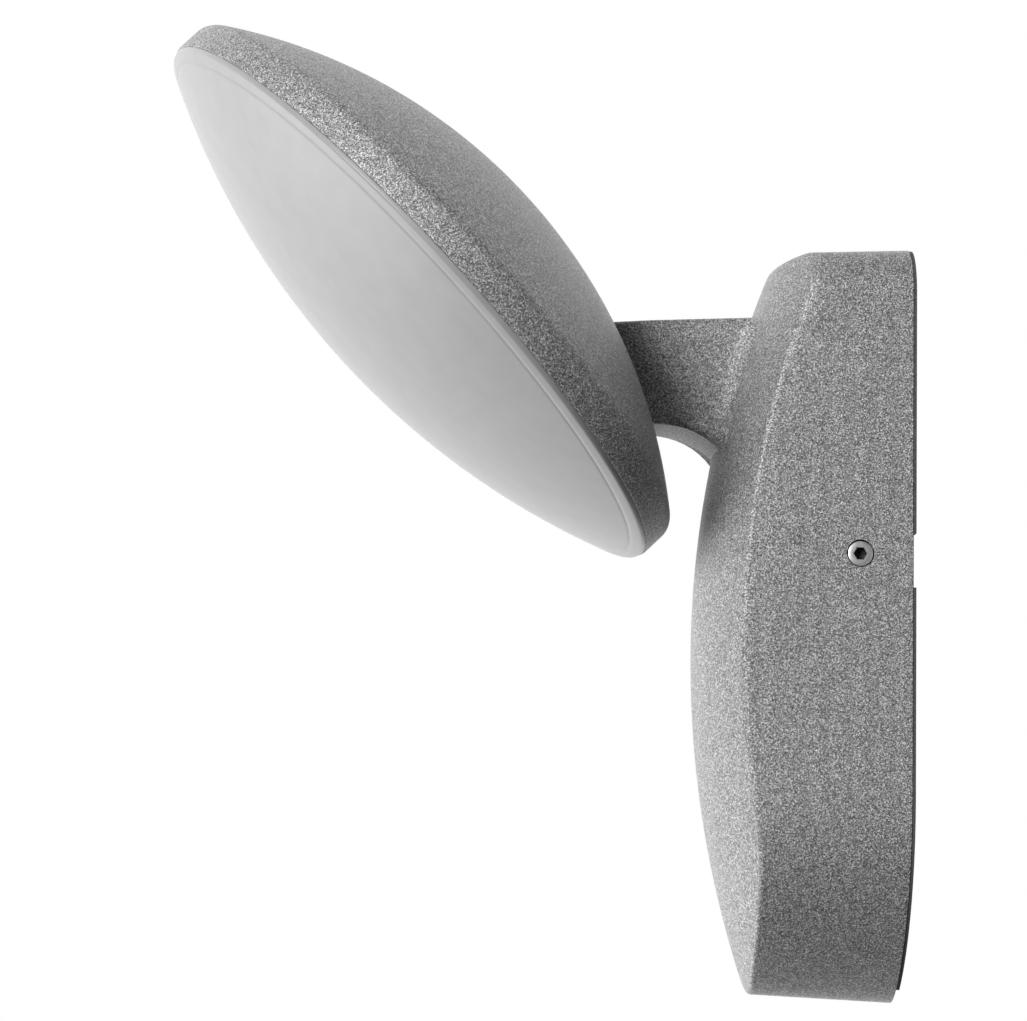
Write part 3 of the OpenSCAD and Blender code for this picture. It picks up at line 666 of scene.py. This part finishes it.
# ---- Terminal block, driver and earth point ----
# White moulded terminal block with six clamp screws, a potted white LED driver held by two screws
# through its ears, and a tinned ring under an earth screw.
white_plastic = grained("white_moulding", (0.74, 0.74, 0.72), (0.84, 0.84, 0.82), 1.5 * mm, roughness=0.45)
brass = grained("tinned_brass", (0.6, 0.47, 0.2), (0.78, 0.66, 0.34), 0.8 * mm, metallic=1.0, roughness=0.35)
for node, name, edge, material, slot in [
        ("terminal_block", "terminal_block_moulding", 0.4 * mm, white_plastic, "white_plastic"),
        ("terminal_screws", "terminal_clamp_screws", 0.15 * mm, zinc, "zinc_steel"),
        ("terminal_fixing_screw", "terminal_block_screw", 0.15 * mm, zinc, "zinc_steel"),
        ("led_driver", "driver_case", 0.8 * mm, white_plastic, "white_plastic"),
        ("driver_screws", "driver_case_screws", 0.3 * mm, zinc, "zinc_steel"),
        ("earth_screw", "earth_point_screw", 0.3 * mm, zinc, "zinc_steel"),
        ("earth_ring", "earth_ring_terminal", 0.1 * mm, brass, "brass")]:
    put(name, machined(node, name, edge), material, "wall_unit", slot, node)

# ---- Leads ----
# Silicone-sheathed leads: two from the terminals to the driver, one from the driver up the arm,
# and one from the pocket to the LED board.
lead_sheath = grained("lead_sheath", (0.02, 0.02, 0.02), (0.05, 0.05, 0.05), 1 * mm, roughness=0.5)
for node, name, body in [("supply_leads", "supply_wires", "wall_unit"), ("arm_lead", "arm_wire", "wall_unit"),
                         ("head_lead", "head_wire", "lamp_head")]:
    put(name, machined(node, name, sharp=60), lead_sheath, body, "lead_jacket", node)

# ---- Tilt joint ----
# Two stainless shoulder screws turn in plastic bushes in the arm, with a friction disc on each side.
for node, name, material, body, slot in [
        ("pivot_bushes", "arm_bushes", white_plastic, "wall_unit", "white_plastic"),
        ("pivot_screws", "shoulder_screws", bright_steel, "lamp_head", "stainless"),
        ("friction_discs", "friction_washers", rubber, "lamp_head", "black_rubber"),
        ("lead_grommet", "pocket_grommet", rubber, "lamp_head", "black_rubber")]:
    put(name, machined(node, name), material, body, slot, node)

# ---- Head shell ----
# Die-cast round back of the head: a shallow dome with a short rim wall and a rounded corner, and a
# closed pocket cast inside it where the arm's knuckle sits. Same powder coat as the housing.
head_radius, rim_height, dome_height, rim_corner = 75 * mm, 7 * mm, 26.1 * mm, 3.3 * mm
head_droop = math.radians(44)
head_back = Vector((0, math.cos(head_droop), math.sin(head_droop)))
head_down = Vector((0, math.sin(head_droop), -math.cos(head_droop)))
board_low, board_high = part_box("led_board")
board_front = 1.7 * mm
board_thick = 1.6 * mm
rim_middle = (board_low + board_high) / 2 - head_back * (board_front + board_thick / 2)
dome_radius = (head_radius ** 2 + dome_height ** 2) / (2 * dome_height)
dome_middle = rim_height + dome_height - dome_radius
corner_out = head_radius - rim_corner
corner_up = dome_middle + math.sqrt((dome_radius - rim_corner) ** 2 - corner_out ** 2)
corner_turn = math.atan2(corner_up - dome_middle, corner_out)


def shell_profile(inset, foot):
    """Rim wall, rounded corner and dome as radius and height, from the rim to the middle."""
    points = [(head_radius - inset, foot), (head_radius - inset, foot + 1.5 * mm),
              (head_radius - inset, corner_up - 0.5 * mm)]
    for k in range(9):
        a = corner_turn * k / 8
        points.append((corner_out + (rim_corner - inset) * math.cos(a),
                       corner_up + (rim_corner - inset) * math.sin(a)))
    for k in range(1, 40):
        a = corner_turn + (math.pi / 2 - corner_turn) * k / 40
        points.append(((dome_radius - inset) * math.cos(a),
                       dome_middle + (dome_radius - inset) * math.sin(a)))
    return points


def turned_on_head(profile, segments=288):
    """Rings of a turned profile round the head's centre line."""
    return [[rim_middle + head_back * up + right * out * math.cos(2 * math.pi * k / segments)
             + head_down * out * math.sin(2 * math.pi * k / segments) for k in range(segments)]
            for out, up in profile]


def head_point(x, down, up):
    return rim_middle + right * x + head_down * down + head_back * up


shell = bmesh.new()
shell_wall = 2.6 * mm
outside = turned_on_head([(head_radius - 0.3 * mm, 0), (head_radius - 0.08 * mm, 0.08 * mm)]
                         + shell_profile(0, 0.3 * mm))
within = turned_on_head(shell_profile(shell_wall, 0))
add_rings(shell, outside, (False, True))
add_rings(shell, within, (False, True))
add_rings(shell, [outside[0], within[0]])
shell_mesh = into_mesh(shell, "head_casting", 25)

pocket_half, pocket_wall, swing_room = arm_half + 1.3 * mm, 2.4 * mm, 7.7 * mm
pivot_down = (pivot - rim_middle).dot(head_down)
pivot_up = (pivot - rim_middle).dot(head_back)
tilt_up, tilt_down = [math.radians(abs(a)) for a in frame["joints"][0]["range_deg"]]
low_turn, high_turn = math.pi / 2 - head_droop - tilt_down, math.pi / 2 - head_droop + tilt_up
flank = arm_top - pivot.z + 0.7 * mm


def swept_prism(points, half):
    """A closed block across the head from its outline, given as steps down the disc and up from it."""
    shape = bmesh.new()
    add_rings(shape, [[head_point(x, down, up) for down, up in points] for x in (-half, half)],
              (True, True))
    return into_mesh(shape, "prism")


def leaned(along, aside, turn):
    """A point along and beside the arm, with the arm turned about the tilt axis."""
    return (pivot_down + along * math.cos(turn) - aside * math.sin(turn),
            pivot_up + along * math.sin(turn) + aside * math.cos(turn))


room = bmesh.new()
room_profile = shell_profile(shell_wall / 2, 0.1 * mm)
add_rings(room, turned_on_head(room_profile, 96), (True, True))
pocket_near = pivot_down - flank / math.sin(high_turn) - pocket_wall
pocket_far = pivot_down + flank / math.sin(low_turn) + 7 * mm
pocket_floor, above_dome = 0.2 * mm, 40 * mm
room_block = swept_prism([(pocket_near, pocket_floor), (pocket_far, pocket_floor),
                          (pocket_far, above_dome), (pocket_near, above_dome)],
                         pocket_half + pocket_wall)
pocket_block = combined(into_mesh(room, "room"), room_block, "INTERSECT")
shell_mesh = combined(shell_mesh, pocket_block, "UNION")
round_end = [leaned(swing_room * math.cos(a), swing_room * math.sin(a), 0)
             for a in [high_turn + math.pi / 2 + (low_turn - high_turn + math.pi) * k / 24
                       for k in range(25)]]
sweep = swept_prism(round_end + [leaned(12.5 * mm, -flank, low_turn),
                                 leaned(19.5 * mm, -flank - 1.8 * mm, low_turn),
                                 leaned(45 * mm, -flank - 4.6 * mm, low_turn), leaned(50 * mm, 0, low_turn),
                                 leaned(50 * mm, 0, high_turn), leaned(45 * mm, flank, high_turn),
                                 leaned(2.5 * mm, flank, high_turn)], pocket_half)
shell_mesh = combined(shell_mesh, sweep, "DIFFERENCE")
put("head_casting", shell_mesh, coat, "lamp_head", "painted_body", "head_shell")

# ---- Light unit ----
# A bare aluminium heat spreader screwed up against the casting, a grey thermal pad, the white LED
# board with its rings of packages and plug, and a white reflector ring that hides the edge.
bare_metal = grained("rolled_aluminium", (0.6, 0.6, 0.61), (0.74, 0.74, 0.75), 2 * mm,
                     metallic=1.0, roughness=0.35, stretch=(1, 8, 8))
pad_silicone = grained("thermal_silicone", (0.3, 0.34, 0.38), (0.4, 0.44, 0.48), 1 * mm, roughness=0.7)
solder_mask = grained("white_solder_mask", (0.8, 0.8, 0.8), (0.88, 0.88, 0.88), 2 * mm, roughness=0.3)
for node, name, edge, material, slot in [
        ("heat_spreader", "spreader_disc", 0.2 * mm, bare_metal, "bare_aluminium"),
        ("thermal_pad", "thermal_sheet", 0.0, pad_silicone, "grey_pad"),
        ("led_board", "board_disc", 0.0, solder_mask, "board_white"),
        ("board_connector", "board_plug", 0.3 * mm, white_plastic, "white_plastic"),
        ("board_screws", "board_disc_screws", 0.2 * mm, zinc, "zinc_steel"),
        ("reflector_ring", "reflector_annulus", 0.0, solder_mask, "board_white")]:
    put(name, machined(node, name, edge), material, "lamp_head", slot, node)
phosphor = grained("phosphor", (0.78, 0.62, 0.12), (0.9, 0.76, 0.25), 0.8 * mm, roughness=0.3)


def ring_of_packages(material):
    """Geometry Nodes: one ring of square packages on the board, each turned to face the board's middle."""
    tree = bpy.data.node_groups.new("package_ring", "GeometryNodeTree")
    for name, kind in [("Count", "NodeSocketInt"), ("Ring radius", "NodeSocketFloat"),
                       ("Start turn", "NodeSocketFloat"), ("Package width", "NodeSocketFloat"),
                       ("Package height", "NodeSocketFloat")]:
        tree.interface.new_socket(name, in_out="INPUT", socket_type=kind)
    tree.interface.new_socket("Geometry", in_out="OUTPUT", socket_type="NodeSocketGeometry")
    given = tree.nodes.new("NodeGroupInput")
    result = tree.nodes.new("NodeGroupOutput")
    ring = tree.nodes.new("GeometryNodeMeshCircle")
    number = tree.nodes.new("GeometryNodeInputIndex")
    share = tree.nodes.new("ShaderNodeMath")
    share.operation = "DIVIDE"
    turn = tree.nodes.new("ShaderNodeMath")
    turn.operation = "MULTIPLY"
    turn.inputs[1].default_value = 2 * math.pi
    about = tree.nodes.new("ShaderNodeCombineXYZ")
    size = tree.nodes.new("ShaderNodeCombineXYZ")
    package = tree.nodes.new("GeometryNodeMeshCube")
    seats = tree.nodes.new("GeometryNodeInstanceOnPoints")
    whole = tree.nodes.new("GeometryNodeTransform")
    spun = tree.nodes.new("ShaderNodeCombineXYZ")
    real = tree.nodes.new("GeometryNodeRealizeInstances")
    painted = tree.nodes.new("GeometryNodeSetMaterial")
    painted.inputs["Material"].default_value = material
    join(tree, [(given.outputs["Count"], ring.inputs["Vertices"]),
                (given.outputs["Ring radius"], ring.inputs["Radius"]),
                (number.outputs["Index"], share.inputs[0]),
                (given.outputs["Count"], share.inputs[1]),
                (share.outputs[0], turn.inputs[0]),
                (turn.outputs[0], about.inputs["Z"]),
                (given.outputs["Package width"], size.inputs["X"]),
                (given.outputs["Package width"], size.inputs["Y"]),
                (given.outputs["Package height"], size.inputs["Z"]),
                (size.outputs[0], package.inputs["Size"]),
                (ring.outputs["Mesh"], seats.inputs["Points"]),
                (package.outputs["Mesh"], seats.inputs["Instance"]),
                (about.outputs[0], seats.inputs["Rotation"]),
                (given.outputs["Start turn"], spun.inputs["Z"]),
                (seats.outputs["Instances"], whole.inputs["Geometry"]),
                (spun.outputs[0], whole.inputs["Rotation"]),
                (whole.outputs["Geometry"], real.inputs["Geometry"]),
                (real.outputs["Geometry"], painted.inputs["Geometry"]),
                (painted.outputs["Geometry"], result.inputs["Geometry"])])
    return tree


package_width, package_height, package_count = 3 * mm, 0.7 * mm, 24
package_rings = ring_of_packages(phosphor)
packages = bmesh.new()
for count, ring_radius, start_turn in [(package_count, 55 * mm, math.pi / package_count),
                                       (package_count // 2, 36 * mm, 2 * math.pi / package_count),
                                       (package_count // 4, 14 * mm, 0)]:
    carrier = bpy.data.objects.new("package_ring", bpy.data.meshes.new("package_ring"))
    scene.collection.objects.link(carrier)
    nodes = carrier.modifiers.new("packages", "NODES")
    nodes.node_group = package_rings
    values = {"Count": count, "Ring radius": ring_radius, "Start turn": start_turn,
              "Package width": package_width, "Package height": package_height}
    for socket in package_rings.interface.items_tree:
        if socket.name in values:
            nodes[socket.identifier] = values[socket.name]
    packages.from_mesh(plain_mesh(carrier, "package_ring"))
for corner in packages.verts:
    corner.co = head_point(corner.co.x, -corner.co.y, board_front - package_height / 2 + corner.co.z)
put("led_package_set", into_mesh(packages, "led_package_set"), phosphor, "lamp_head", "led_yellow",
    "led_packages")

# ---- Diffuser and its seal ----
# A satin opal polycarbonate bowl with a small round bead and a faint groove at its rim, whose skirt
# presses into the shell's mouth against a rubber seal.
put("diffuser_gasket", machined("diffuser_seal", "diffuser_gasket"), rubber, "lamp_head",
    "black_rubber", "diffuser_seal")
groove_in, groove_bed, groove_out, groove_depth = 71.6 * mm, 71.8 * mm, 72 * mm, 0.1 * mm
bowl_flank, bowl_steps = 71 * mm, 46
bowl_bulge, bead, opal_wall, edge_depth = 16.7 * mm, 0.75 * mm, 2 * mm, 0.9 * mm
bowl_radius = (head_radius ** 2 + bowl_bulge ** 2) / (2 * bowl_bulge)
bowl_middle = bowl_radius - edge_depth - bowl_bulge
bead_out = head_radius - 0.4 * mm - bead
bead_up = bowl_middle - math.sqrt((bowl_radius - bead) ** 2 - bead_out ** 2)
bead_turn = math.asin(bead_out / (bowl_radius - bead))
skirt_out = head_radius - shell_wall - 1 * mm


def bowl_up(out):
    return bowl_middle - math.sqrt(bowl_radius ** 2 - out ** 2)


profile = [(bowl_flank * k / bowl_steps, bowl_up(bowl_flank * k / bowl_steps))
           for k in range(1, bowl_steps + 1)]
profile += [(groove_in, bowl_up(groove_in)), (groove_bed, bowl_up(groove_bed) + groove_depth),
            (groove_out, bowl_up(groove_out)), (73 * mm, bowl_up(73 * mm))]
for k in range(9):
    a = (bead_turn - math.pi / 2) * (1 - k / 8)
    profile.append((bead_out + bead * math.cos(a), bead_up + bead * math.sin(a)))
profile += [(bead_out + bead, -0.15 * mm), (bead_out + bead - 0.15 * mm, 0)]
profile += [(skirt_out, 0), (skirt_out, 4.3 * mm), (skirt_out - 0.3 * mm, 4.6 * mm),
            (skirt_out - opal_wall, 4.6 * mm), (skirt_out - opal_wall, 0)]
for k in range(24, 0, -1):
    out = (skirt_out - opal_wall) * k / 24
    profile.append((out, bowl_middle - math.sqrt((bowl_radius - opal_wall) ** 2 - out ** 2)))
bowl = bmesh.new()
add_rings(bowl, turned_on_head(profile), (True, True))
opal = grained("opal_satin", (0.38, 0.38, 0.38), (0.41, 0.41, 0.41), 6 * mm, roughness=0.4, relief=0.02)
put("opal_bowl", into_mesh(bowl, "opal_bowl", 40), opal, "lamp_head", "opal", "opal_diffuser")
